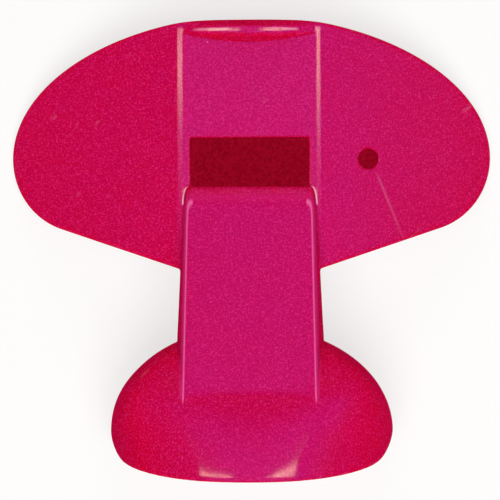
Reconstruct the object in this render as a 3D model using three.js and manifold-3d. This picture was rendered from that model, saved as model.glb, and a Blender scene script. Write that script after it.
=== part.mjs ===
// Nose flute: a whistle that is blown through the nose, with the player's mouth as its resonator.
// Two plastic mouldings are cemented together: a thin front shell, and a plate that closes the air duct.
// Millimetres. The flute lies on its back on the plane z = 0, on its wing tips and the lobes of the hood.
// +X is the wing with the cord hole, +Y is the chin edge, and +Z is the front, away from the player.

import * as THREE from 'three';
import { mergeVertices } from 'three/addons/utils/BufferGeometryUtils.js';
import Module from 'manifold-3d';

// Whole flute
const span = 76.2; // wing tip to wing tip
const length = 70.4; // chin edge to nose rim
const wall = 1.6; // wall of the moulding
const bondGap = 0.3; // cement line between the two mouldings

// Mouth shield: a flat middle strip between two creases, and a wing on each side
const stripWidth = 20.4;
const creaseRadius = 4.5;
const creaseTilt = THREE.MathUtils.degToRad(20); // lean of a wing beside its crease
const tipTilt = THREE.MathUtils.degToRad(30); // lean of a wing at its tip
const shieldRise = 21.2; // chin edge beyond the line through the wing tips
const chinArcRise = 21.7; // half axis of the elliptic edge from tip to tip, which the chin cuts straight
const tipRadius = 11.7; // lower corner of a wing
const wingEdgeAngle = THREE.MathUtils.degToRad(18); // slope of a wing's lower edge
const cordHoleDiameter = 3.2;
const cordHoleX = 18.4;
const cordHoleDrop = 0.3; // hole centre below the line through the wing tips

// Chin lip: a bead along the end of the strip, with a straight crest, which swells towards the middle
const lipRise = 2.2;
const lipInset = 1.6; // middle of the crest to the chin edge
const lipCrest = 0.6; // flat of the crest
const lipFlank = 1.35; // crest to the foot of the bead, in the middle
const lipEndFlank = 0.05; // and where the bead dies out
const lipEdgeDrop = 1.8; // crest down to the chin edge, in the middle

// Window, and the labium edge that splits the air at its far side
const windowWidth = 18.3;
const windowLength = 7.6;
const windowCorner = 0.9; // its corners beside the duct
const tongueLength = 18.2; // chin edge to the labium
const labiumThickness = 0.6;
const labiumBevel = 4.0;

// Air duct: a drafted trough under the strip, which rises towards the hood
const slitHeight = 1.25; // windway at its exit
const floorRise = 0.7; // windway floor above the back of the strip
const ductDraft = THREE.MathUtils.degToRad(8);
const ductCheek = 0.65; // front face beyond the window, on each side
const ductNoseWidth = 20.8; // front face where the hood begins, across its sharp corners
const ductEdgeRadius = 0.8;
const ductEndRun = 1.6; // the front face is chamfered towards the window over this length
const ductEndDrop = 1.0;
const ductCornerRun = 2.6; // the corners beside the window are rounded in plan
const ductCornerInset = 0.7;

// Nose hood: a vaulted cup over the nose, open at the rim and at the back
const hoodWidth = 44.9;
const hoodReach = 17.3; // widest line to the neck end
const hoodOverhang = 5.6; // widest line to the rim, at the crest
const hoodHeight = 27.0; // top of the crest's curve above the plane that the flute lies on
const ductJoin = 7.6; // widest line to where the duct's front face runs out on the crest
const ductRunIn = 2.6; // the duct's walls go on under the hood by this much
const crestOverrun = 2.0; // the crest's curve would be level this far beyond the rim
const crestRun = 25.15; // half axes of the ellipse that the crest follows
const crestFall = 17.5;
const rimLean = 3.6; // the rim stands back by this at the face side
const rimBow = 0.95; // and bows back by this half-way up
const archNeck = 11.0; // power of the arch: square like the duct at the neck, round at the rim
const archRim = 2.4;

// Windway plate
const plateThickness = 1.3;
const plateLap = 0.8; // beyond the duct's front face at the window, on each side
const plateReach = 2.5; // past the neck end of the hood
const plateCorner = 1.5;
const floorSetback = 3.0; // end of the raised floor, back from the end of the plate
const floorRamp = 3.0; // slope up to the raised floor
const seatClearance = 0.3;

// Fineness of the facets
const creaseSteps = 4;
const wingSteps = 10;
const chinSteps = 56;
const tipSteps = 10;
const filletSteps = 4;
const ductCornerSteps = 5;
const neckSteps = 10;
const overhangSteps = 5;
const archSteps = 30;
const rimSteps = 10;
const lipStations = 16;
const beadSteps = 4;
const holeSteps = 28;
const faceSteps = 96;

const plasticColour = 0xc8145f;
const plasticRoughness = 0.28;

// Places along the length
const chinY = length / 2;
const tipY = chinY - shieldRise;
const labiumY = chinY - tongueLength;
const exitY = labiumY - windowLength;
const rimY = -length / 2;
const hoodWideY = rimY + hoodOverhang;
const hoodNeckY = hoodWideY + hoodReach;
const joinY = hoodWideY + ductJoin;
const ductNoseY = joinY - ductRunIn;
const plateEndY = hoodNeckY - plateReach;
const tipX = span / 2;
const ductExitWidth = windowWidth + 2 * ductCheek;
const plateHalf = ductExitWidth / 2 + plateLap;
const overshoot = 2.0; // cutting forms reach past what they cut

const wasm = await Module();
wasm.setup();

// Turn a form drawn in x and z to run towards the nose, and one drawn in y and z to run along x
const towardsNose = new THREE.Matrix4().makeRotationX(Math.PI / 2);
const acrossFlute = new THREE.Matrix4().makeBasis(
  new THREE.Vector3(0, 1, 0),
  new THREE.Vector3(0, 0, 1),
  new THREE.Vector3(1, 0, 0),
);

function solidFrom(geometry) {
  const bare = geometry.clone();
  bare.deleteAttribute('normal');
  bare.deleteAttribute('uv');
  const merged = mergeVertices(bare, 1e-5);
  return new wasm.Manifold(
    new wasm.Mesh({
      numProp: 3,
      vertProperties: new Float32Array(merged.getAttribute('position').array),
      triVerts: new Uint32Array(merged.getIndex().array),
    }),
  );
}

function meshFrom(solid, name, material) {
  const result = solid.getMesh();
  const geometry = new THREE.BufferGeometry();
  geometry.setAttribute('position', new THREE.BufferAttribute(result.vertProperties, 3));
  geometry.setIndex(new THREE.BufferAttribute(result.triVerts, 1));
  geometry.computeVertexNormals();
  const mesh = new THREE.Mesh(geometry, material);
  mesh.name = name;
  return mesh;
}

// A closed skin through loops of equal count, each drawn anticlockwise in its own plane
function loft(loops, stations) {
  const count = loops[0].length;
  const positions = [];
  const triangles = [];
  loops.forEach((loop, row) => {
    loop.forEach((point) => positions.push(point.x, point.y, stations[row]));
  });
  for (let row = 0; row < loops.length - 1; row++) {
    for (let i = 0; i < count; i++) {
      const here = row * count + i;
      const next = row * count + ((i + 1) % count);
      triangles.push(here, next, next + count);
      triangles.push(here, next + count, here + count);
    }
  }
  const lastRow = (loops.length - 1) * count;
  for (const [a, b, c] of THREE.ShapeUtils.triangulateShape(loops[0], [])) {
    triangles.push(c, b, a);
  }
  for (const [a, b, c] of THREE.ShapeUtils.triangulateShape(loops.at(-1), [])) {
    triangles.push(lastRow + a, lastRow + b, lastRow + c);
  }
  const geometry = new THREE.BufferGeometry();
  geometry.setAttribute('position', new THREE.Float32BufferAttribute(positions, 3));
  geometry.setIndex(triangles);
  return geometry;
}

function prism(shape, from, to, curveSegments = 1) {
  const depth = to - from;
  const geometry = new THREE.ExtrudeGeometry(shape, { depth, bevelEnabled: false, curveSegments });
  return geometry.translate(0, 0, from);
}

function block(low, high) {
  const size = new THREE.Vector3().subVectors(high, low);
  const middle = new THREE.Vector3().addVectors(low, high).multiplyScalar(0.5);
  return solidFrom(new THREE.BoxGeometry(size.x, size.y, size.z).translate(middle.x, middle.y, middle.z));
}

function ramp(from, to, steps) {
  return Array.from({ length: steps + 1 }, (_, i) => from + ((to - from) * i) / steps);
}

// Right half of the shield's section, at a depth below the front skin, with the strip's front at z = 0
const creaseEndX = stripWidth / 2 + creaseRadius * Math.sin(creaseTilt);
const wingRadius = (tipX - creaseEndX) / (Math.sin(tipTilt) - Math.sin(creaseTilt));
const wingCentre = new THREE.Vector2(
  creaseEndX - wingRadius * Math.sin(creaseTilt),
  -creaseRadius * (1 - Math.cos(creaseTilt)) - wingRadius * Math.cos(creaseTilt),
);

function shieldCurve(depth) {
  const points = [];
  for (const tilt of ramp(0, creaseTilt, creaseSteps)) {
    const radius = creaseRadius - depth;
    points.push(
      new THREE.Vector2(stripWidth / 2 + radius * Math.sin(tilt), radius * Math.cos(tilt) - creaseRadius),
    );
  }
  const pastTip = Math.asin((tipX + overshoot - wingCentre.x) / (wingRadius - depth));
  for (const tilt of ramp(creaseTilt, pastTip, wingSteps).slice(1)) {
    const radius = wingRadius - depth;
    points.push(
      new THREE.Vector2(wingCentre.x + radius * Math.sin(tilt), wingCentre.y + radius * Math.cos(tilt)),
    );
  }
  return points;
}

// Heights: the back of the wing tips touches z = 0
const tipBackTilt = Math.asin((tipX - wingCentre.x) / (wingRadius - wall));
const stripFront = -(wingCentre.y + (wingRadius - wall) * Math.cos(tipBackTilt));
const stripBack = stripFront - wall;
const windwayFloor = stripBack + floorRise;
const windwayCeiling = windwayFloor + slitHeight;
const plateBack = stripBack - bondGap - plateThickness;
const topOfAll = hoodHeight + overshoot;

// Upper edge of the shield: an ellipse from tip to tip, cut straight along the chin
function chinEdge(x) {
  const arc = tipY + chinArcRise * Math.sqrt(Math.max(0, 1 - (x / tipX) ** 2));
  return Math.min(arc, chinY);
}

// Shield outline: the upper edge, round lower corners, and straight edges down to the duct
function shieldOutline() {
  const cornerX = tipX - tipRadius;
  const startX = cornerX + tipRadius * Math.sin(wingEdgeAngle);
  const startY = tipY - tipRadius * Math.cos(wingEdgeAngle);
  const neckX = (ductExitWidth - wall) / 2;
  const neckY = startY - (startX - neckX) * Math.tan(wingEdgeAngle);
  const points = [];
  for (const angle of ramp(0, Math.PI, chinSteps)) {
    const x = tipX * Math.cos(angle);
    points.push(new THREE.Vector2(x, chinEdge(x)));
  }
  const corner = (side, angle) => {
    const x = side * (cornerX + tipRadius * Math.cos(angle));
    return new THREE.Vector2(x, tipY - tipRadius * Math.sin(angle));
  };
  const cornerTurn = ramp(0, Math.PI / 2 - wingEdgeAngle, tipSteps).slice(1);
  points.push(...cornerTurn.map((angle) => corner(-1, angle)));
  points.push(new THREE.Vector2(-neckX, neckY), new THREE.Vector2(neckX, neckY));
  points.push(...cornerTurn.reverse().map((angle) => corner(1, angle)));
  return new THREE.Shape(points);
}

function shieldSheet() {
  const front = shieldCurve(0);
  const back = shieldCurve(wall);
  const mirrored = (points) => points.map((point) => new THREE.Vector2(-point.x, point.y));
  const section = [...mirrored(back).reverse(), ...back, ...front.reverse(), ...mirrored(front).reverse()];
  const sheet = prism(new THREE.Shape(section), -chinY - overshoot, hoodReach);
  return solidFrom(sheet.applyMatrix4(towardsNose).translate(0, 0, stripFront));
}

// Chin lip: sections in y and z at stations across the strip, highest in the middle and gone at the creases
function chinLip() {
  const half = stripWidth / 2;
  const archRadius = (half * half + lipRise * lipRise) / (2 * lipRise);
  const crestStart = chinY - lipInset + lipCrest / 2;
  const crestEnd = crestStart - lipCrest;
  const stations = ramp(-half, half, lipStations);
  const loops = stations.map((x) => {
    const rise = Math.sqrt(archRadius * archRadius - x * x) - (archRadius - lipRise);
    const share = rise / lipRise;
    const flank = Math.max(lipEndFlank, lipFlank * share);
    const foot = crestEnd - flank;
    const top = stripFront + rise;
    const loop = [
      new THREE.Vector2(foot - wall, stripBack),
      new THREE.Vector2(chinY, stripBack),
      new THREE.Vector2(chinY, top - lipEdgeDrop * share),
      new THREE.Vector2(crestStart, top),
    ];
    for (const angle of ramp(0, Math.PI / 2, beadSteps)) {
      const y = crestEnd - (flank * angle) / (Math.PI / 2);
      loop.push(new THREE.Vector2(y, stripFront + rise * Math.cos(angle)));
    }
    loop.push(new THREE.Vector2(foot - wall, stripFront));
    return loop;
  });
  return solidFrom(loft(loops, stations).applyMatrix4(acrossFlute));
}

// Fall of a quarter circle of radius 1: 0 where the share is 0, and 1 at its end
function quarterRound(share) {
  return 1 - Math.sqrt(Math.max(0, 1 - share * share));
}

// Height of the hood's outer skin along its middle
function hoodCrest(y) {
  const share = Math.max(0, y - (rimY - crestOverrun)) / crestRun;
  return hoodHeight - crestFall * quarterRound(share);
}

// The duct's front face climbs in a straight line from the window to the hood's crest
const ductFaceStartY = exitY - ductEndRun;
const ductFaceStart = windwayCeiling + wall;
const ductSlope = (hoodCrest(joinY) - ductFaceStart) / (ductFaceStartY - joinY);

function ductFace(y) {
  return ductFaceStart + Math.max(0, ductFaceStartY - y) * ductSlope;
}

function ductHalfWidth(y) {
  const share = (exitY - Math.min(y, exitY)) / (exitY - ductNoseY);
  return THREE.MathUtils.lerp(ductExitWidth, ductNoseWidth, share) / 2;
}

// Drafted section of the duct, drawn in x and z with round upper edges
function ductSection(bottom, top, topHalf, edgeRadius) {
  const lean = Math.tan(ductDraft);
  const baseHalf = topHalf + (top - bottom) * lean;
  const centreX = topHalf - edgeRadius;
  const centreZ = top - edgeRadius;
  const right = [new THREE.Vector2(baseHalf, bottom)];
  for (const angle of ramp(ductDraft, Math.PI / 2, filletSteps)) {
    right.push(
      new THREE.Vector2(centreX + edgeRadius * Math.cos(angle), centreZ + edgeRadius * Math.sin(angle)),
    );
  }
  const left = right.map((point) => new THREE.Vector2(-point.x, point.y)).reverse();
  return [...right, ...left];
}

function ductOuter() {
  const cornerTurn = ramp(Math.PI / 2, 0, ductCornerSteps);
  const cornerStations = cornerTurn.map((angle) => exitY - ductCornerRun * (1 - Math.sin(angle)));
  const ys = [...cornerStations, ductFaceStartY, ductNoseY].sort((a, b) => b - a);
  const loops = ys.map((y) => {
    const distance = exitY - y;
    const top = ductFace(y) - ductEndDrop * Math.max(0, 1 - distance / ductEndRun);
    const nearEnd = Math.max(0, 1 - distance / ductCornerRun);
    const half = ductHalfWidth(y) - ductCornerInset * quarterRound(nearEnd);
    return ductSection(stripBack, top, half, ductEdgeRadius);
  });
  return solidFrom(
    loft(
      loops,
      ys.map((y) => -y),
    ).applyMatrix4(towardsNose),
  );
}

function ductInner() {
  const ys = [exitY + overshoot, ductFaceStartY, ductNoseY];
  const loops = ys.map((y) => {
    return ductSection(-overshoot, ductFace(y) - wall, ductHalfWidth(y) - wall, ductEdgeRadius / 2);
  });
  return solidFrom(
    loft(
      loops,
      ys.map((y) => -y),
    ).applyMatrix4(towardsNose),
  );
}

// The player's face, as a cylinder along the flute, which trims the hood's back edge
const faceRadius = ((hoodWidth / 2) ** 2 + plateBack ** 2) / (2 * plateBack);

function faceHeight(x) {
  return plateBack - faceRadius + Math.sqrt(faceRadius * faceRadius - x * x);
}

// Half width of the hood's plan outline, made smaller all round by a depth
function hoodHalfWidth(y, depth) {
  const share = Math.max(0, y - hoodWideY) / (hoodReach - depth);
  return (hoodWidth / 2 - depth) * Math.sqrt(Math.max(0, 1 - share * share));
}

function hoodArch(y, depth, bottom) {
  const half = hoodHalfWidth(y, depth);
  const spring = faceHeight(hoodHalfWidth(y, 0));
  const rise = hoodCrest(y) - depth - spring;
  const share = THREE.MathUtils.clamp((y - rimY) / (hoodNeckY - rimY), 0, 1);
  const power = 2 / THREE.MathUtils.lerp(archRim, archNeck, share ** 3);
  const points = [new THREE.Vector2(-half, bottom), new THREE.Vector2(half, bottom)];
  for (const angle of ramp(0, Math.PI, archSteps)) {
    const across = Math.sign(Math.cos(angle)) * Math.abs(Math.cos(angle)) ** power;
    points.push(new THREE.Vector2(half * across, spring + rise * Math.abs(Math.sin(angle)) ** power));
  }
  return points;
}

function hoodForm(depth, bottom) {
  const neckTurn = ramp(0, Math.PI / 2, neckSteps).slice(1);
  const ys = neckTurn.map((angle) => hoodWideY + (hoodReach - depth) * Math.cos(angle));
  ys.push(...ramp(hoodWideY, rimY - overshoot, overhangSteps).slice(1));
  const loops = ys.map((y) => hoodArch(y, depth, bottom));
  return solidFrom(
    loft(
      loops,
      ys.map((y) => -y),
    ).applyMatrix4(towardsNose),
  );
}

// The rim leans back towards the face in a shallow bow, so the hood is trimmed to this side view
function rimTrim() {
  const outline = new THREE.Shape();
  outline.moveTo(chinY, -overshoot);
  outline.lineTo(chinY, topOfAll);
  outline.lineTo(rimY, topOfAll);
  for (const share of ramp(1, 0, rimSteps)) {
    const lean = rimLean * (1 - share) + 4 * rimBow * share * (1 - share);
    outline.lineTo(rimY + lean, hoodCrest(rimY) * share);
  }
  outline.lineTo(rimY + rimLean, -overshoot);
  const side = prism(outline, -span / 2, span / 2).applyMatrix4(acrossFlute);
  return solidFrom(side);
}

function faceTrim() {
  const run = hoodReach + hoodOverhang + 2 * overshoot;
  const face = new THREE.CylinderGeometry(faceRadius, faceRadius, run, faceSteps);
  return solidFrom(face.translate(0, rimY - overshoot + run / 2, plateBack - faceRadius));
}

function windowCut() {
  const half = windowWidth / 2;
  const corner = half - windowCorner;
  const opening = new THREE.Shape();
  opening.moveTo(half, labiumY);
  opening.lineTo(-half, labiumY);
  opening.absarc(-corner, exitY + windowCorner, windowCorner, Math.PI, 1.5 * Math.PI);
  opening.absarc(corner, exitY + windowCorner, windowCorner, 1.5 * Math.PI, 2 * Math.PI);
  return solidFrom(prism(opening, -overshoot, topOfAll, filletSteps));
}

// The back of the strip is shaved towards the window, which leaves a thin edge for the air to strike
function labiumCut() {
  const bevel = new THREE.Shape();
  bevel.moveTo(labiumY + labiumBevel, stripBack);
  bevel.lineTo(labiumY, stripFront - labiumThickness);
  bevel.lineTo(labiumY - overshoot, stripFront - labiumThickness);
  bevel.lineTo(labiumY - overshoot, stripBack - overshoot);
  bevel.lineTo(labiumY + labiumBevel, stripBack - overshoot);
  return solidFrom(prism(bevel, -windowWidth / 2, windowWidth / 2).applyMatrix4(acrossFlute));
}

function cordHoleCut() {
  const radius = cordHoleDiameter / 2;
  const hole = new THREE.CylinderGeometry(radius, radius, 2 * topOfAll, holeSteps);
  return solidFrom(hole.rotateX(Math.PI / 2).translate(cordHoleX, tipY - cordHoleDrop, 0));
}

// Room for the plate, with its clearance, in the back of the duct and in the neck end of the hood
function plateSeatCut() {
  const half = plateHalf + seatClearance;
  const low = new THREE.Vector3(-half, plateEndY - seatClearance, -overshoot);
  const high = new THREE.Vector3(half, exitY, stripBack);
  return block(low, high);
}

function frontShell() {
  const planform = solidFrom(prism(shieldOutline(), -overshoot, topOfAll));
  const shield = shieldSheet().add(chinLip()).intersect(planform);
  const hood = hoodForm(0, -overshoot).intersect(rimTrim());
  const outside = shield.add(ductOuter()).add(hood);
  const hollow = ductInner().add(hoodForm(wall, -2 * overshoot));
  return outside
    .subtract(hollow)
    .subtract(faceTrim())
    .subtract(windowCut())
    .subtract(labiumCut())
    .subtract(cordHoleCut())
    .subtract(plateSeatCut());
}

// The plate laps the duct's back edges, and its raised floor plugs into the trough
function windwayPlate() {
  const corner = plateHalf - plateCorner;
  const lapTop = plateBack + plateThickness;
  const lap = new THREE.Shape();
  lap.moveTo(plateHalf, exitY);
  lap.lineTo(-plateHalf, exitY);
  lap.absarc(-corner, plateEndY + plateCorner, plateCorner, Math.PI, 1.5 * Math.PI);
  lap.absarc(corner, plateEndY + plateCorner, plateCorner, 1.5 * Math.PI, 2 * Math.PI);
  const flange = solidFrom(prism(lap, plateBack, lapTop, filletSteps));

  const floorEndY = plateEndY + floorSetback;
  const floor = new THREE.Shape();
  floor.moveTo(exitY, plateBack);
  floor.lineTo(exitY, windwayFloor);
  floor.lineTo(floorEndY + floorRamp, windwayFloor);
  floor.lineTo(floorEndY, lapTop);
  floor.lineTo(floorEndY, plateBack);
  const floorHalf = ductHalfWidth(exitY) - wall - seatClearance;
  return flange.add(solidFrom(prism(floor, -floorHalf, floorHalf).applyMatrix4(acrossFlute)));
}

const plastic = new THREE.MeshStandardMaterial({
  color: plasticColour,
  roughness: plasticRoughness,
  metalness: 0,
});

const noseFlute = new THREE.Group();
noseFlute.name = 'nose_flute';
noseFlute.add(meshFrom(frontShell(), 'front_shell', plastic));
noseFlute.add(meshFrom(windwayPlate(), 'windway_plate', plastic));

export default noseFlute;
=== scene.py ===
# %% [markdown]
# # A moulded nose flute
# A nose flute is a whistle that is blown with the nose, while the mouth behind its shield is the resonator.
# The real one is two plastic mouldings cemented together: a thin front shell, and a plate that closes the
# air duct at the back. This lesson makes both as smooth mouldings around the packed CAD frame, then gives
# them a glossy, slightly translucent magenta plastic.

# %% Load the frame
import math
from types import SimpleNamespace

import bpy
from mathutils import Matrix, Vector


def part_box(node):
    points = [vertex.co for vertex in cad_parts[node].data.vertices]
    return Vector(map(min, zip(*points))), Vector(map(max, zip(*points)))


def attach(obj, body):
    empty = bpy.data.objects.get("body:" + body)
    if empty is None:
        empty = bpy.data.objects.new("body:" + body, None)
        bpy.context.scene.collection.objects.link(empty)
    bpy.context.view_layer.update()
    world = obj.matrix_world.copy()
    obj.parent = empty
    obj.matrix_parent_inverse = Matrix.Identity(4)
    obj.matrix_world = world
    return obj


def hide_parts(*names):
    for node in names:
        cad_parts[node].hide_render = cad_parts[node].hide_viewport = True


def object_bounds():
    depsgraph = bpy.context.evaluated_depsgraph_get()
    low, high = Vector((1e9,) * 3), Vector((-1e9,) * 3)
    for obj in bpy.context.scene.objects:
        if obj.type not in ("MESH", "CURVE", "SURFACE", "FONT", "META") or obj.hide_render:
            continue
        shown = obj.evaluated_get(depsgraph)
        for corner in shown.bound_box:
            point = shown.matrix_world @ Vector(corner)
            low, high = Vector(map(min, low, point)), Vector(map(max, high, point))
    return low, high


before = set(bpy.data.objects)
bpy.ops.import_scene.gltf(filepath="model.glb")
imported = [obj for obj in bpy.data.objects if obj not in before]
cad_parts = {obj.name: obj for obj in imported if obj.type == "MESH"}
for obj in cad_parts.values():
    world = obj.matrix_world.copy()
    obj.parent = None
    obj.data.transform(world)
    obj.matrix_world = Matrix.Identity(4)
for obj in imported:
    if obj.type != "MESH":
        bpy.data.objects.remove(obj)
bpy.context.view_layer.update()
shell_low, shell_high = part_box("front_shell")
MM = 0.001

# %% [markdown]
# ## The camera
# The photograph was taken from close by, looking straight down on the front, so near parts look larger than
# far ones. A real lens at a real distance gives that by itself. The camera stands a little to the right of
# the middle, which shows the walls of the duct unequally.

# %% Camera
EYE_HEIGHT = 400.0 * MM
EYE_X = 7.0 * MM
EYE_Y = 4.9 * MM
LENS = 179.7
SENSOR = 36.0
NEAR_CLIP = 0.01
CAMERA_ROLL = -0.004
AIM = Vector((-0.26 * MM, -0.6 * MM, 0.0))


def facing(way):
    """A turn that points the Z axis along a direction and keeps the Y axis towards the chin."""
    across = Vector((0.0, 1.0, 0.0)).cross(way).normalized()
    return Matrix((across, way.cross(across), way)).transposed().to_4x4()


scene = bpy.context.scene
camera_data = bpy.data.cameras.new("photo_camera")
camera_data.lens = LENS
camera_data.sensor_width = SENSOR
camera_data.clip_start = NEAR_CLIP
camera = bpy.data.objects.new("photo_camera", camera_data)
scene.collection.objects.link(camera)
eye = Vector((EYE_X, EYE_Y, EYE_HEIGHT))
back = (eye - AIM).normalized()
camera.matrix_world = Matrix.Translation(eye) @ facing(back) @ Matrix.Rotation(CAMERA_ROLL, 4, "Z")
scene.camera = camera
print("camera at", tuple(round(value, 4) for value in eye))

# %% [markdown]
# ## The sizes of the mouldings
# These are the driving sizes in millimetres. Most are those that the CAD part was made from. The blends of
# edges and corners are the scene's own, and so are a few finer values: the tighter crease, the wider crest of
# the lip, the curve of the hood and the way its sides turn in. The span and the length are read from the
# frame, so the dressed part can't grow away from it.

# %% Sizes
SIZES = SimpleNamespace(
    # Whole flute
    span=(shell_high.x - shell_low.x) / MM,
    length=(shell_high.y - shell_low.y) / MM,
    wall=1.6,
    bond_gap=0.3,
    # Mouth shield
    strip_width=20.4,
    crease_radius=3.5,
    crease_tilt=math.radians(20),
    tip_tilt=math.radians(30),
    shield_rise=21.2,
    chin_arc_rise=21.7,
    tip_radius=11.7,
    wing_edge_angle=math.radians(18),
    cord_hole_diameter=3.2,
    cord_hole_x=18.4,
    cord_hole_drop=0.3,
    # Chin lip
    lip_rise=2.2,
    lip_inset=1.6,
    lip_crest=1.0,
    lip_flank=1.35,
    lip_edge_drop=1.8,
    # Window and labium
    window_width=18.3,
    window_length=7.6,
    tongue_length=18.2,
    labium_thickness=0.6,
    labium_bevel=4.0,
    window_corner=0.9,
    # Air duct
    slit_height=1.25,
    floor_rise=0.7,
    duct_draft=math.radians(8),
    duct_cheek=0.65,
    duct_nose_width=20.8,
    duct_end_run=1.6,
    duct_end_drop=1.0,
    duct_corner_run=2.6,
    duct_corner_inset=0.7,
    duct_corner_round=1.0,
    duct_join=7.6,
    duct_run_in=2.6,
    # Nose hood
    hood_width=44.9,
    hood_reach=17.3,
    hood_overhang=5.6,
    hood_turn_start=1.6,
    hood_turn_reach=12.0,
    hood_shoulder=5.0,
    hood_height=27.0,
    crest_overrun=2.5,
    crest_run=25.15,
    crest_fall=17.5,
    rim_lean=3.6,
    rim_bow=0.25,
    arch_neck=14.5,
    arch_rim=2.4,
    arch_ease=3.0,
    # Windway plate
    plate_thickness=1.3,
    plate_lap=0.8,
    plate_reach=2.5,
    plate_corner=1.5,
    floor_setback=3.0,
    floor_ramp=3.0,
    seat_clearance=0.3,
    # How far the edges and inner corners of the mouldings are blended
    rim_round=0.8,
    duct_edge_round=0.8,
    fillet=0.6,
    chin_round=1.0,
    hood_fillet=0.3,
    edge_round=0.3,
)
print(len(vars(SIZES)), "sizes, span", round(SIZES.span, 2), "mm")

# %% [markdown]
# ## Shapes as fields
# A moulding has soft fillets in every corner and soft rounds on every edge. Cutting solids and then
# bevelling hundreds of small edges is fragile. A field is easier: at each point of space it says how far
# outside the plastic that point is. Two shapes join with a smooth minimum, which fills their corner with a
# fillet, and cut each other with a smooth maximum, which rounds the edge. Geometry Nodes turn the zero level
# into a mesh.
#
# The class below lets formulas be written as plain arithmetic. On a field, each sign adds a Math node.

# %% Arithmetic that makes Math nodes


class Field:
    """A number that varies through space: the output socket of a node in a tree."""

    def __init__(self, tree, socket):
        self.tree = tree
        self.socket = socket

    def __add__(self, other):
        return math_node("ADD", self, other)

    def __radd__(self, other):
        return math_node("ADD", other, self)

    def __sub__(self, other):
        return math_node("SUBTRACT", self, other)

    def __rsub__(self, other):
        return math_node("SUBTRACT", other, self)

    def __mul__(self, other):
        return math_node("MULTIPLY", self, other)

    def __rmul__(self, other):
        return math_node("MULTIPLY", other, self)

    def __truediv__(self, other):
        return math_node("DIVIDE", self, other)

    def __rtruediv__(self, other):
        return math_node("DIVIDE", other, self)

    def __pow__(self, other):
        return math_node("POWER", self, other)

    def __neg__(self):
        return math_node("MULTIPLY", self, -1.0)

    def __abs__(self):
        return math_node("ABSOLUTE", self)


def math_node(operation, *values):
    """One Math node, with fields linked to its sockets and plain numbers written in them."""
    tree = next(value.tree for value in values if isinstance(value, Field))
    node = tree.nodes.new("ShaderNodeMath")
    node.operation = operation
    for socket, value in zip(node.inputs, values):
        if isinstance(value, Field):
            tree.links.new(value.socket, socket)
        else:
            socket.default_value = value
    return Field(tree, node.outputs[0])


def either(operation, plain):
    """A function that makes a Math node for fields, and works out plain numbers by itself."""

    def function(*values):
        if any(isinstance(value, Field) for value in values):
            return math_node(operation, *values)
        return plain(*values)

    return function


square_root = either("SQRT", math.sqrt)
sine = either("SINE", math.sin)
cosine = either("COSINE", math.cos)
tangent = either("TANGENT", math.tan)
lower = either("MINIMUM", min)
higher = either("MAXIMUM", max)
print("arithmetic is ready")

# %% [markdown]
# A few more helpers take up what the shapes have in common. Each is only a few nodes.

# %% Helpers for fields


def less(first, second):
    """1 where the first value is less than the second, and 0 elsewhere."""
    return math_node("LESS_THAN", first, second)


def choose(test, yes, no):
    return no + test * (yes - no)


def join(first, second, blend):
    """Both shapes together, with a fillet in their corner."""
    return math_node("SMOOTH_MIN", first, second, blend)


def meet(first, second, blend):
    """What both shapes share, with a rounded edge."""
    return math_node("SMOOTH_MAX", first, second, blend)


def cut(body, tool, blend):
    return meet(body, -tool, blend)


def part_way(value, start, end):
    """0 before the start, 1 past the end, and the share of the way between them."""
    return lower(1.0, higher(0.0, (value - start) / (end - start)))


def eased(share):
    """The same share, with a soft start and a soft end."""
    return share * share * (3 - 2 * share)


def quarter_round(share):
    """0 where the share is 0, and 1 at the end of a quarter circle."""
    return 1 - square_root(higher(0.0, 1 - share * share))


def length_of(first, second):
    return square_root(first * first + second * second)


print("helpers are ready, an eased quarter is", eased(0.25))

# %% [markdown]
# ## Places along the flute
# The driving sizes fix where everything lies: the back of the wing tips and the lobes of the hood touch the
# table, the strip and the windway stand above them, and the duct climbs to the crest of the hood. The same
# function works on plain numbers and on fields, so the node tree stays open to a change of size. In all that
# follows, s holds the sizes and p the places.

# %% Places


def hood_crest(s, p, y):
    """Height of the hood's outer skin along its middle: an ellipse, level a little beyond the rim."""
    run = higher(0.0, y - p.rim_y + s.crest_overrun) / s.crest_run
    return s.hood_height - s.crest_fall * quarter_round(run)


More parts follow.
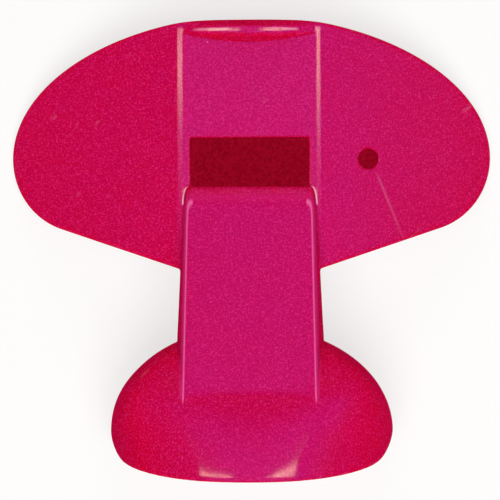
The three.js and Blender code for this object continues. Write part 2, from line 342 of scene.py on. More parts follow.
def flute_places(s):
    """Places and heights in millimetres that follow from the sizes."""
    p = SimpleNamespace()
    p.chin_y = s.length / 2
    p.rim_y = s.length / -2
    p.tip_x = s.span / 2
    p.tip_y = p.chin_y - s.shield_rise
    p.labium_y = p.chin_y - s.tongue_length
    p.exit_y = p.labium_y - s.window_length
    p.hood_wide_y = p.rim_y + s.hood_overhang
    p.hood_neck_y = p.hood_wide_y + s.hood_reach
    p.join_y = p.hood_wide_y + s.duct_join
    p.duct_nose_y = p.join_y - s.duct_run_in
    p.plate_end_y = p.hood_neck_y - s.plate_reach
    p.strip_half = s.strip_width / 2
    p.duct_exit_half = s.window_width / 2 + s.duct_cheek
    p.plate_half = p.duct_exit_half + s.plate_lap
    # The wing is an arc that starts with the lean of the crease and ends with that of the tip
    crease_end_x = p.strip_half + s.crease_radius * sine(s.crease_tilt)
    p.wing_radius = (p.tip_x - crease_end_x) / (sine(s.tip_tilt) - sine(s.crease_tilt))
    p.wing_x = crease_end_x - p.wing_radius * sine(s.crease_tilt)
    crease_drop = s.crease_radius * (1 - cosine(s.crease_tilt))
    wing_drop = crease_drop + p.wing_radius * cosine(s.crease_tilt)
    back_radius = p.wing_radius - s.wall
    tip_reach = p.tip_x - p.wing_x
    p.strip_front = wing_drop - square_root(back_radius * back_radius - tip_reach * tip_reach)
    p.wing_z = p.strip_front - wing_drop
    p.strip_back = p.strip_front - s.wall
    p.windway_floor = p.strip_back + s.floor_rise
    p.windway_ceiling = p.windway_floor + s.slit_height
    p.plate_front = p.strip_back - s.bond_gap
    p.plate_back = p.plate_front - s.plate_thickness
    # The face is a cylinder through the flat back of the plate and the hood's two lobes
    lobes = s.hood_width * s.hood_width / 4 + p.plate_back * p.plate_back
    p.face_radius = lobes / (2 * p.plate_back)
    p.duct_start_y = p.exit_y - s.duct_end_run
    p.duct_start_z = p.windway_ceiling + s.wall
    p.duct_slope = (hood_crest(s, p, p.join_y) - p.duct_start_z) / (p.duct_start_y - p.join_y)
    return p


PLACES = flute_places(SIZES)
print("strip front at", round(PLACES.strip_front, 2), "mm, duct slope", round(PLACES.duct_slope, 3))

# %% [markdown]
# ## The mouth shield
# In cross-section the shield is a flat strip, a tight crease and a long shallow wing. Each stretch has its
# own exact distance, and they agree where they meet, so the skin has no kink. In plan it is cut by an
# ellipse, a straight chin edge, and a lower edge with a big round corner. An arched lip stands along the
# chin.

# %% Shield fields
TINY = 0.001  # keeps a divisor away from zero
LEAST_FLANK = 0.05


def shield_depth(s, p, side, z):
    """Distance in front of the shield's front skin."""
    out = side - p.strip_half
    up = z - p.strip_front + s.crease_radius
    strip = z - p.strip_front
    crease = length_of(out, up) - s.crease_radius
    wing = length_of(side - p.wing_x, z - p.wing_z) - p.wing_radius
    on_crease = less(out * cosine(s.crease_tilt), up * sine(s.crease_tilt))
    return choose(less(out, 0.0), strip, choose(on_crease, crease, wing))


def lip_height(s, p, x, y):
    """How far the chin lip lifts the front skin: a bead with a straight crest, highest in the middle."""
    arch_radius = (p.strip_half * p.strip_half + s.lip_rise * s.lip_rise) / (2 * s.lip_rise)
    arch = square_root(higher(0.0, arch_radius * arch_radius - x * x)) - arch_radius + s.lip_rise
    rise = higher(0.0, arch)
    share = rise / s.lip_rise
    from_crest = p.chin_y - s.lip_inset - y
    crest_half = s.lip_crest / 2
    flank = higher(LEAST_FLANK, s.lip_flank * share)
    inner_slope = cosine(math.pi / 2 * part_way(from_crest, crest_half, crest_half + flank))
    outer_slope = part_way(-from_crest, crest_half, s.lip_inset)
    return rise * inner_slope - s.lip_edge_drop * share * outer_slope


def shield_plan(s, p, x, y, side):
    """Distance outside the shield's plan outline."""
    across = x / p.tip_x
    up = higher(0.0, y - p.tip_y) / s.chin_arc_rise
    oval = higher(TINY, length_of(across, up))
    steepness = higher(TINY, length_of(across / p.tip_x, up / s.chin_arc_rise) / oval)
    chin = meet((oval - 1) / steepness, y - p.chin_y, s.chin_round)
    out = side - p.tip_x + s.tip_radius
    down = p.tip_y - y
    lean = sine(s.wing_edge_angle)
    level = cosine(s.wing_edge_angle)
    in_corner = less(0.0, down) * less(0.0, out * level - down * lean)
    straight = higher(out, out * lean + down * level)
    return higher(chin, choose(in_corner, length_of(out, down), straight) - s.tip_radius)


def shield_field(s, p, x, y, z, side):
    depth = shield_depth(s, p, side, z)
    skin = meet(depth - lip_height(s, p, x, y), shield_plan(s, p, x, y, side), s.rim_round)
    return cut(skin, depth + s.wall, s.rim_round)


print("shield fields are ready, wing radius", round(PLACES.wing_radius, 1), "mm")

# %% [markdown]
# ## The air duct
# The duct is a trough with drafted sides, so that it could leave its mould, and its front face climbs in a
# straight line from the window to the hood. At the window it ends in a short slope with rounded corners.
# Inside, the same form is repeated one wall smaller.

# %% Duct fields
OVERSHOOT = 2.0  # how far a tool runs past what it cuts


def duct_half(s, p, y):
    """Half width of the duct's front face, which widens towards the hood."""
    run = (p.exit_y - lower(y, p.exit_y)) / (p.exit_y - p.duct_nose_y)
    return p.duct_exit_half + (s.duct_nose_width / 2 - p.duct_exit_half) * run


def duct_front(p, y):
    """Height of the duct's front face."""
    return p.duct_start_z + higher(0.0, p.duct_start_y - y) * p.duct_slope


def duct_wall(s, z, side, top, half):
    """Distance outside the drafted side walls, which have a given half width at their top."""
    return (side - half - (top - z) * tangent(s.duct_draft)) * cosine(s.duct_draft)


def duct_faces(s, p, y, z, side):
    """Distances in front of the duct's front face, and outside its end slope and side walls."""
    top = duct_front(p, y)
    face = (z - top) / square_root(1 + p.duct_slope * p.duct_slope)
    end_up = z - p.duct_start_z + s.duct_end_drop
    end_slope = (y - p.exit_y) * s.duct_end_drop + end_up * s.duct_end_run
    end_slope = end_slope / length_of(s.duct_end_drop, s.duct_end_run)
    near_end = part_way(s.duct_corner_run - p.exit_y + y, 0.0, s.duct_corner_run)
    half = duct_half(s, p, y) - s.duct_corner_inset * quarter_round(near_end)
    return face, meet(end_slope, duct_wall(s, z, side, top, half), s.duct_corner_round)


def duct_outside(s, p, y, z, side):
    face, walls = duct_faces(s, p, y, z, side)
    body = meet(face, walls, s.duct_edge_round)
    return higher(higher(body, p.strip_back - z), higher(y - p.exit_y, p.duct_nose_y - y))


def duct_inside(s, p, y, z, side):
    top = duct_front(p, y) - s.wall
    walls = duct_wall(s, z, side, top, duct_half(s, p, y) - s.wall)
    body = meet(z - top, walls, s.edge_round)
    return higher(higher(body, y - p.exit_y - OVERSHOOT), p.duct_nose_y - y)


print("duct fields are ready, from y", round(PLACES.exit_y, 1), "to", round(PLACES.duct_nose_y, 1), "mm")

# %% [markdown]
# ## The nose hood
# The hood is a vault: each cross-section is a superellipse, flat like the duct at the neck and rounder at the
# rim. Towards the rim its sides turn in. A second limit does that, with a soft shoulder where it meets the
# vault, so the top of the vault stays level and keeps its highlights.

# %% Hood fields
LEAST_HALF = 0.02
LEAST_RISE = 0.3
SHOULDER_PARTS = 6  # where the sides don't turn in, the shoulder is an edge's round divided by this


def face_height(p, x):
    """The player's face is a cylinder along the flute, which trims the back of the hood."""
    return p.plate_back - p.face_radius + square_root(higher(0.0, p.face_radius * p.face_radius - x * x))


def hood_half(s, p, y, depth):
    """Half width of the hood's vault, which closes round the neck."""
    run = higher(0.0, y - p.hood_wide_y) / (s.hood_reach - depth)
    return (s.hood_width / 2 - depth) * square_root(higher(0.0, 1 - run * run))


def hood_sides(s, p, y):
    """Share of the vault's width that is left where the sides turn in towards the rim."""
    turn = higher(0.0, p.hood_wide_y + s.hood_turn_start - y) / s.hood_turn_reach
    return square_root(higher(0.0, 1 - turn * turn))


def hood_form(s, p, y, z, side, depth):
    """Distance outside the hood's vault, made smaller all round by a depth."""
    half = higher(LEAST_HALF, hood_half(s, p, y, depth))
    spring = face_height(p, hood_half(s, p, y, 0.0))
    rise = higher(LEAST_RISE, hood_crest(s, p, y) - depth - spring)
    inwards = part_way(y, p.rim_y, p.hood_neck_y)
    power = s.arch_rim + (s.arch_neck - s.arch_rim) * inwards**s.arch_ease
    across = side / half
    up = higher(0.0, z - spring) / rise
    arch = higher(TINY, (across**power + up**power) ** (1.0 / power))
    slope_across = (across / arch) ** (power - 1) / half
    slope_up = (up / arch) ** (power - 1) / rise
    vault = (arch - 1) / higher(TINY, length_of(slope_across, slope_up))
    turned_half = half * hood_sides(s, p, y)
    shoulder = lower(s.hood_shoulder, half - turned_half) + s.edge_round / SHOULDER_PARTS
    vault = meet(vault, side - turned_half, shoulder)
    return higher(vault, y - p.hood_neck_y + depth)


print("hood fields are ready, face radius", round(PLACES.face_radius, 1), "mm")

# %% [markdown]
# ## Cuts in the shell
# The rim of the hood leans back in a shallow bow. The face trims the hood's back edge, the window and the
# cord hole go right through, the strip is shaved thin at the labium, and the plate has its seat in the back.
# Each cut is a tool: a field that is negative where plastic is taken away.

# %% Cuts and the whole shell


def rim_tool(s, p, y, z):
    up = z / hood_crest(s, p, p.rim_y)
    bow = 4 * s.rim_bow * up * (1 - up)
    return y - p.rim_y - s.rim_lean * (1 - up) - bow


def face_tool(p, x, y, z):
    round_face = length_of(x, z - p.plate_back + p.face_radius) - p.face_radius
    return higher(round_face, y - p.hood_neck_y - OVERSHOOT)


def window_tool(s, p, y, side):
    lower_corners = meet(side - s.window_width / 2, p.exit_y - y, s.window_corner)
    return higher(lower_corners, y - p.labium_y)


def labium_tool(s, p, y, z, side):
    shaved = s.wall - s.labium_thickness
    slope = (z - p.strip_back) * s.labium_bevel - (p.labium_y + s.labium_bevel - y) * shaved
    bevel = slope / length_of(s.labium_bevel, shaved)
    return higher(bevel, higher(side - s.window_width / 2, p.exit_y + OVERSHOOT - y))


def cord_hole_tool(s, p, x, y):
    return length_of(x - s.cord_hole_x, y - p.tip_y + s.cord_hole_drop) - s.cord_hole_diameter / 2


def plate_seat_tool(s, p, y, z, side):
    across = higher(side - p.plate_half - s.seat_clearance, z - p.strip_back)
    return higher(across, higher(y - p.exit_y, p.plate_end_y - s.seat_clearance - y))


def shell_field(s, p, x, y, z):
    side = abs(x)
    outside = join(shield_field(s, p, x, y, z, side), duct_outside(s, p, y, z, side), s.fillet)
    outside = join(outside, hood_form(s, p, y, z, side, 0.0), s.hood_fillet)
    hollow = join(duct_inside(s, p, y, z, side), hood_form(s, p, y, z, side, s.wall), s.fillet)
    body = cut(outside, hollow, s.edge_round)
    body = cut(body, rim_tool(s, p, y, z), s.rim_round)
    body = cut(body, face_tool(p, x, y, z), s.rim_round)
    body = cut(body, window_tool(s, p, y, side), s.edge_round)
    body = cut(body, labium_tool(s, p, y, z, side), s.edge_round)
    body = cut(body, cord_hole_tool(s, p, x, y), s.edge_round)
    return cut(body, plate_seat_tool(s, p, y, z, side), s.edge_round)


print("shell field is ready, window", SIZES.window_width, "by", SIZES.window_length, "mm")

# %% [markdown]
# ## The windway plate
# The plate is a flat moulding with two rounded corners. On it stands the floor of the windway, which reaches
# into the duct and ramps down at its nose end, so that the breath runs smoothly into the slit.

# %% Plate field


def plate_field(s, p, x, y, z):
    side = abs(x)
    out = higher(0.0, side - p.plate_half + s.plate_corner)
    past = higher(0.0, p.plate_end_y + s.plate_corner - y)
    corners = length_of(out, past) - s.plate_corner
    outline = higher(corners, higher(side - p.plate_half, y - p.exit_y))
    lap = meet(outline, higher(z - p.plate_front, p.plate_back - z), s.edge_round)
    floor_end_y = p.plate_end_y + s.floor_setback
    climb = p.windway_floor - p.plate_front
    ramp = (z - p.plate_front) * s.floor_ramp - (y - floor_end_y) * climb
    top = higher(z - p.windway_floor, ramp / length_of(s.floor_ramp, climb))
    floor_half = p.duct_exit_half - s.wall - s.seat_clearance
    floor_side = higher(side - floor_half, higher(y - p.exit_y, p.plate_back - z))
    return join(lap, meet(floor_side, top, s.edge_round), s.edge_round)


print("plate field is ready, plate", round(2 * PLACES.plate_half, 1), "mm wide")

# %% [markdown]
# ## Mottle and wear
# The flute is moulded in magenta polystyrene, dyed through and a little translucent. Two effects belong to
# every face of it and are built as node groups: the fine mottle that the dye and the mould leave, and the
# specks and scratches of handling. Both read Object coordinates, so they stay on the part from every side.

# %% Shader helpers


def group_tree(name, inputs, outputs):
    tree = bpy.data.node_groups.new(name, "ShaderNodeTree")
    for label, default in inputs.items():
        socket = tree.interface.new_socket(label, in_out="INPUT", socket_type="NodeSocketFloat")
        socket.default_value = default
    for label in outputs:
        tree.interface.new_socket(label, in_out="OUTPUT", socket_type="NodeSocketFloat")
    return tree, tree.nodes.new("NodeGroupInput"), tree.nodes.new("NodeGroupOutput")


def axes_of(tree, vector):
    split = tree.nodes.new("ShaderNodeSeparateXYZ")
    tree.links.new(vector, split.inputs["Vector"])
    return [Field(tree, socket) for socket in split.outputs]


def object_place(tree):
    return tree.nodes.new("ShaderNodeTexCoord").outputs["Object"]


def noise(tree, place, scale, detail):
    node = tree.nodes.new("ShaderNodeTexNoise")
    node.inputs["Detail"].default_value = detail
    tree.links.new(place, node.inputs["Vector"])
    if isinstance(scale, Field):
        tree.links.new(scale.socket, node.inputs["Scale"])
    else:
        node.inputs["Scale"].default_value = scale
    return Field(tree, node.outputs["Fac"])


print("shader helpers are ready")

# %% Groups for mottle and wear
GRAIN_SCALE = 3600.0
GRAIN_DETAIL = 2.0
CLOUD_SCALE = 90.0
CLOUD_DETAIL = 3.0
NOISE_MIDDLE = 0.5
GRAIN_RELIEF = 0.3
SPECK_SCALE = 300.0
SPECK_SHARE = 0.1
SPECK_LEAST = 0.02
SPECK_MORE = 0.025
SCRATCH_SCALE = 600.0
SCRATCH_DETAIL = 3.0
SCRATCH_TURN = (0.3, 0.2, 0.6)
SCRATCH_STRETCH = (16.0, 1.0, 1.0)
SCRATCH_START = 0.7
SCRATCH_FULL = 0.78


def mottle_group():
    tree, given, made = group_tree(
        "dye_mottle",
        {"Grain scale": GRAIN_SCALE, "Cloud scale": CLOUD_SCALE},
        ("Grain", "Cloud", "Height"),
    )
    place = object_place(tree)
    grain = noise(tree, place, Field(tree, given.outputs["Grain scale"]), GRAIN_DETAIL)
    cloud = noise(tree, place, Field(tree, given.outputs["Cloud scale"]), CLOUD_DETAIL)
    tree.links.new((grain - NOISE_MIDDLE).socket, made.inputs["Grain"])
    tree.links.new((cloud - NOISE_MIDDLE).socket, made.inputs["Cloud"])
    tree.links.new((grain * GRAIN_RELIEF + cloud).socket, made.inputs["Height"])
    return tree


def wear_group():
    tree, given, made = group_tree(
        "handling_wear",
        {"Speck scale": SPECK_SCALE, "Speck share": SPECK_SHARE, "Scratch scale": SCRATCH_SCALE},
        ("Specks", "Scratches"),
    )
    place = object_place(tree)
    cells = tree.nodes.new("ShaderNodeTexVoronoi")
    tree.links.new(place, cells.inputs["Vector"])
    tree.links.new(given.outputs["Speck scale"], cells.inputs["Scale"])
    colour = tree.nodes.new("ShaderNodeSeparateColor")
    tree.links.new(cells.outputs["Color"], colour.inputs["Color"])
    rare = less(Field(tree, colour.outputs["Red"]), Field(tree, given.outputs["Speck share"]))
    size = SPECK_LEAST + Field(tree, colour.outputs["Green"]) * SPECK_MORE
    small = less(Field(tree, cells.outputs["Distance"]), size)
    tree.links.new((rare * small).socket, made.inputs["Specks"])
    stretch = tree.nodes.new("ShaderNodeMapping")
    stretch.vector_type = "TEXTURE"
    stretch.inputs["Rotation"].default_value = SCRATCH_TURN
    stretch.inputs["Scale"].default_value = SCRATCH_STRETCH
    tree.links.new(place, stretch.inputs["Vector"])
    scale = Field(tree, given.outputs["Scratch scale"])
    lines = noise(tree, stretch.outputs["Vector"], scale, SCRATCH_DETAIL)
    tree.links.new(part_way(lines, SCRATCH_START, SCRATCH_FULL).socket, made.inputs["Scratches"])
    return tree


MOTTLE = mottle_group()
WEAR = wear_group()
print("groups", MOTTLE.name, WEAR.name)

# %% [markdown]
# ## Painted highlights
# Pale highlight lines are painted on the long edges of the duct's face, the rims of the window and the hole,
# the duct's corners beside the window, and two stretches of the lip's crest, and painted light makes the tops
# of the duct's side walls paler. The fields that shape the shell also tell how far a point is from each of
# these edges, so the shader can lay the painted lines exactly on them, with no image and no unwrapping.

# %% Painted highlights
# Reach and strength of the painted highlight lines
HIGHLIGHT_SIDE = 1.0
HIGHLIGHT_INSET = 0.3
HIGHLIGHT_LESS = 0.12
FOOT_REACH = 0.2
LINE_OVERRUN = 1.5
BAND_REACH = 0.35
BAND_CORE = BAND_REACH / 3
BAND_DEPTH = 3.5
BAND_TOP = 0.5
LIP_HIGHLIGHT = 0.27
LIP_HIGHLIGHT_CORE = LIP_HIGHLIGHT / 3
# Shares of the strip's half width where a painted highlight on the lip starts, is full, fades and ends
LIP_LEFT = (-0.24, -0.34, -0.74, -0.86)
LIP_RIGHT = (0.48, 0.56, 0.7, 0.76)


def highlighted_edges(s, p, x, y, z):
    """Distance to the nearest edge with a painted highlight: beside the duct's face, at the window or the
    hole.
    """
    side = abs(x)
    face, walls = duct_faces(s, p, y, z, side)
    from_side = part_way(p.duct_exit_half - side, HIGHLIGHT_SIDE, 2 * HIGHLIGHT_SIDE)
    past_join = higher(0.0, p.join_y - LINE_OVERRUN - y)
    duct_edge = length_of(face, walls + HIGHLIGHT_INSET) + from_side + past_join
    sill_edge = length_of(y - p.exit_y, z - p.duct_start_z + s.duct_end_drop)
    depth = shield_depth(s, p, side, z)
    window_edge = length_of(depth, window_tool(s, p, y, side))
    hole_edge = length_of(depth, cord_hole_tool(s, p, x, y))
    return lower(duct_edge, lower(sill_edge, lower(window_edge, hole_edge)) + HIGHLIGHT_LESS)


def highlighted_corner(s, p, x, y, z):
    """Distance to the foot of the duct's two rounded corners beside the window, where a highlight arc is
    painted.
    """
    side = abs(x)
    _, walls = duct_faces(s, p, y, z, side)
    past_corner = part_way(p.exit_y - s.duct_corner_run - y, 0.0, s.duct_corner_run)
    foot = length_of(shield_depth(s, p, side, z), walls - FOOT_REACH)
    return foot + past_corner + higher(0.0, y - p.exit_y)


def stretch_across(x, half, start, full, fading, end):
    """1 on a stretch across the flute, which goes to 0 at both its ends."""
    return part_way(x, half * start, half * full) * part_way(x, half * end, half * fading)


def highlighted_lip(s, p, x, y, z):
    """1 on two stretches of the lip's crest with a painted highlight, a long one left and a short one right.
    """
    from_crest = abs(p.chin_y - s.lip_inset - y)
    left = stretch_across(x, p.strip_half, *LIP_LEFT)
    right = stretch_across(x, p.strip_half, *LIP_RIGHT)
    front = part_way(z, p.strip_front, p.strip_front + s.edge_round)
    return part_way(from_crest, LIP_HIGHLIGHT, LIP_HIGHLIGHT_CORE) * (left + right) * front


def lit_wall_band(s, p, x, y, z):
    """1 at the top of the duct's side walls, where painted light makes them paler, and 0 at their foot and
    elsewhere.
    """
    face, walls = duct_faces(s, p, y, z, abs(x))
    on_wall = part_way(abs(walls), BAND_REACH, BAND_CORE)
    from_window = part_way(y, p.exit_y, p.exit_y - BAND_DEPTH)
    before_hood = part_way(y, p.join_y - LINE_OVERRUN, p.join_y)
    return on_wall * part_way(face, -BAND_DEPTH, -BAND_TOP) * (from_window * before_hood)


print("rubbed places are ready")

# %% [markdown]
# ## Colour of the plastic
# The dye lets red light wander through the wall and stops blue and green. So a face that meets the light
# squarely looks magenta, and a steep or shaded one goes deep red. Subsurface scattering with a long red
# radius does most of that, and painted shade does the rest: the colour is painted redder by the lean of the
# surface. The lean is measured from an axis a few degrees off the front, as if the light came a little from
# the right, because the two wings don't look quite alike in the photograph.

# %% Colours of the plastic


def linear(red, green, blue):
    """A colour from the 8-bit values of a picture to the linear ones of a shader, by the sRGB curve."""

    def channel(value):
        value = value / 255
        return value / 12.92 if value <= 0.04045 else ((value + 0.055) / 1.055) ** 2.4

    return (channel(red), channel(green), channel(blue), 1.0)


# The dye's magenta, and the redder colours of painted shade on leaning and on steep faces
SQUARE_COLOUR = linear(200, 14, 113)
LEANING_COLOUR = linear(203, 2, 76)
STEEP_COLOUR = linear(214, 1, 50)
PALE_GRAIN = linear(228, 58, 166)
DARK_GRAIN = linear(168, 0, 52)
LIT_TILT = math.radians(5)
LEANING_START = 1.0
LEANING_FULL = 0.91
STEEP_START = 0.95
STEEP_FULL = 0.6
GRAIN_SPREAD = 1.3
CLOUD_SPREAD = 0.3
STEEP_SPREAD = 0.6
GRAIN_SPAN = 0.45


def mix_colour(tree, share, first, second):
    node = tree.nodes.new("ShaderNodeMix")
    node.data_type = "RGBA"
    tree.links.new(share.socket, node.inputs["Factor"])
    for label, value in (("A", first), ("B", second)):
        socket = next(s for s in node.inputs if s.name == label and s.type == "RGBA")
        if isinstance(value, tuple):
            socket.default_value = value
        else:
            tree.links.new(value, socket)
    return next(s for s in node.outputs if s.type == "RGBA")


def dye_and_painted_shade(tree, grain, cloud, normal_x, normal_z):
    """Magenta where the surface faces the light, and painted shade, deep red, where it leans away; broken up
    by the grain.
    """
    lit = abs(normal_x * math.sin(LIT_TILT) + normal_z * math.cos(LIT_TILT))
    spread = grain * GRAIN_SPREAD + cloud * CLOUD_SPREAD
    leaning = part_way(part_way(lit, LEANING_START, LEANING_FULL) + spread, 0.0, 1.0)
    steep = part_way(part_way(lit, STEEP_START, STEEP_FULL) + spread * STEEP_SPREAD, 0.0, 1.0)
    colour = mix_colour(tree, leaning, SQUARE_COLOUR, LEANING_COLOUR)
    colour = mix_colour(tree, steep, colour, STEEP_COLOUR)
    colour = mix_colour(tree, part_way(grain, 0.0, GRAIN_SPAN), colour, PALE_GRAIN)
    return mix_colour(tree, part_way(grain, 0.0, -GRAIN_SPAN), colour, DARK_GRAIN)


print("square colour", tuple(round(value, 3) for value in SQUARE_COLOUR))

# %% [markdown]
# The moulded front also carries the painted highlights and the painted light on the duct's walls, and a faint
# line that runs away from the cord hole, where two streams of melt met in the mould.

# %% Marks of the moulded front
# Colours of the painted highlights and of the painted light on the duct's walls
EDGE_HIGHLIGHT_COLOUR = linear(240, 112, 178)
WALL_LIGHT_COLOUR = linear(222, 44, 140)
BRIGHT_HIGHLIGHT_COLOUR = linear(255, 190, 214)
WALL_TINT = 0.6
EDGE_TINT = 0.8
LIP_TINT = 0.42
HIGHLIGHT_WIDTH = 0.18
HIGHLIGHT_CORE = HIGHLIGHT_WIDTH / 4
KNIT_START = Vector((19.6, 11.8)) * MM
KNIT_END = Vector((24.3, 0.3)) * MM
KNIT_WIDTH = 0.3 * MM
KNIT_RISE = 0.125
KNIT_FADE = 0.5


def painted_light_colour(tree, colour):
    """The colour with painted light on the duct's walls and painted highlights on edges, corners and lip."""
    place = [axis / MM for axis in axes_of(tree, object_place(tree))]
    band = lit_wall_band(SIZES, PLACES, *place)
    colour = mix_colour(tree, band * WALL_TINT, colour, WALL_LIGHT_COLOUR)
    edges = part_way(highlighted_edges(SIZES, PLACES, *place), HIGHLIGHT_WIDTH, HIGHLIGHT_CORE)
    colour = mix_colour(tree, edges * EDGE_TINT, colour, EDGE_HIGHLIGHT_COLOUR)
    corners = part_way(highlighted_corner(SIZES, PLACES, *place), HIGHLIGHT_WIDTH, HIGHLIGHT_CORE)
    colour = mix_colour(tree, corners, colour, BRIGHT_HIGHLIGHT_COLOUR)
    crest = highlighted_lip(SIZES, PLACES, *place)
    return mix_colour(tree, crest * LIP_TINT, colour, BRIGHT_HIGHLIGHT_COLOUR)


def knit_line(tree):
    """1 on the line where the melt met, strongest near the cord hole."""
    way = (KNIT_END - KNIT_START).normalized()
    x, y, _ = axes_of(tree, object_place(tree))
    east = x - KNIT_START.x
    north = y - KNIT_START.y
    along = east * way.x + north * way.y
    away = abs(east * way.y - north * way.x)
    run = (KNIT_END - KNIT_START).length
    ends = part_way(along, 0.0, run * KNIT_RISE) * part_way(along, run, run * KNIT_FADE)
    return part_way(away, KNIT_WIDTH, 0.0) * ends


print("marks are ready, line", round((KNIT_END - KNIT_START).length / MM, 1), "mm long")

# %% [markdown]
# ## The materials
# A clear coat gives the gloss. It lies on the faces that look forward, where the photograph shows gloss, and
# the steep sides and the back stay duller. The plate has a coarser grain, fewer specks and none of the
# front's marks.

# %% Plastic materials
SCATTER_SHARE = 0.5
SCATTER_RADIUS = (1.0, 0.02, 0.12)
RED_REACH = 1.4 * MM
PLASTIC_IOR = 1.5
COAT_ROUGHNESS = 0.1
SCUFF_COLOUR = linear(236, 150, 190)
SPECK_TINT = 0.7
SCRATCH_TINT = 0.12
KNIT_TINT = 0.18
ROUGHNESS = 0.42
CLOUD_ROUGHNESS = 0.12
SCRATCH_ROUGHNESS = 0.2
COAT_START = 0.72
COAT_FULL = 0.94
COAT_WEIGHT = 0.95
SCRATCH_DULLING = 0.4
SPECK_DULLING = 0.5
BUMP_STRENGTH = 0.25
BUMP_DISTANCE = 0.02 * MM
SCRATCH_DEPTH = 0.5
PLATE_GRAIN = 3300.0
PLATE_SPECKS = 0.06


def placed_group(tree, group, label, value):
    """A node group placed in a material, with one value of its own."""
    node = tree.nodes.new("ShaderNodeGroup")
    node.node_tree = group
    node.inputs[label].default_value = value
    return node


def plastic_material(name, grain_scale, speck_share, moulded_front):
    material = bpy.data.materials.new(name)
    material.use_nodes = True
    tree = material.node_tree
    shader = tree.nodes["Principled BSDF"]
    shader.subsurface_method = "RANDOM_WALK"
    shader.inputs["Subsurface Weight"].default_value = SCATTER_SHARE
    shader.inputs["Subsurface Radius"].default_value = SCATTER_RADIUS
    shader.inputs["Subsurface Scale"].default_value = RED_REACH
    shader.inputs["IOR"].default_value = PLASTIC_IOR
    shader.inputs["Specular IOR Level"].default_value = 0.0
    shader.inputs["Coat IOR"].default_value = PLASTIC_IOR
    shader.inputs["Coat Roughness"].default_value = COAT_ROUGHNESS

    mottle = placed_group(tree, MOTTLE, "Grain scale", grain_scale)
    wear = placed_group(tree, WEAR, "Speck share", speck_share)
    grain = Field(tree, mottle.outputs["Grain"])
    cloud = Field(tree, mottle.outputs["Cloud"])
    specks = Field(tree, wear.outputs["Specks"])
    scratches = Field(tree, wear.outputs["Scratches"])
    normal = tree.nodes.new("ShaderNodeTexCoord").outputs["Normal"]
    normal_x, _, normal_z = axes_of(tree, normal)

    # The plastic's colour, with painted shade by the lean of the surface
    colour = dye_and_painted_shade(tree, grain, cloud, normal_x, normal_z)
    scuffed = specks * SPECK_TINT + scratches * SCRATCH_TINT
    if moulded_front:
        scuffed = scuffed + knit_line(tree) * KNIT_TINT
        # Painted highlights on the edges, corners and lip, and painted light on the duct's walls
        colour = painted_light_colour(tree, colour)
    colour = mix_colour(tree, scuffed, colour, SCUFF_COLOUR)
    tree.links.new(colour, shader.inputs["Base Color"])
    roughness = ROUGHNESS + cloud * CLOUD_ROUGHNESS + scratches * SCRATCH_ROUGHNESS
    tree.links.new(roughness.socket, shader.inputs["Roughness"])
    forward = eased(part_way(normal_z, COAT_START, COAT_FULL))
    polish = forward * (COAT_WEIGHT - scratches * SCRATCH_DULLING - specks * SPECK_DULLING)
    tree.links.new(polish.socket, shader.inputs["Coat Weight"])

    bump = tree.nodes.new("ShaderNodeBump")
    bump.inputs["Strength"].default_value = BUMP_STRENGTH
    bump.inputs["Distance"].default_value = BUMP_DISTANCE
    height = Field(tree, mottle.outputs["Height"]) - scratches * SCRATCH_DEPTH
    tree.links.new(height.socket, bump.inputs["Height"])
    tree.links.new(bump.outputs["Normal"], shader.inputs["Normal"])
    return material


SHELL_PLASTIC = plastic_material("shell_plastic", GRAIN_SCALE, SPECK_SHARE, moulded_front=True)
PLATE_PLASTIC = plastic_material("plate_plastic", PLATE_GRAIN, PLATE_SPECKS, moulded_front=False)
print("materials", SHELL_PLASTIC.name, PLATE_PLASTIC.name)

# %% [markdown]
# ## From field to mesh
# One tree does it for both pieces. Volume Cube samples the field on a fine grid, and Volume to Mesh lays a
# closed skin on its zero level. That skin is a little uneven, so each point is then pulled along its normal
# by what the field still says there, which puts it on the true surface. The result is scaled to metres,
# shaded smooth, thinned where it has too many triangles, and turned into a plain mesh.

# %% Tree for a moulding
MARGIN = 1.0
PULL_LIMIT = 0.15


def label_of(name):
    return name.replace("_", " ").capitalize()


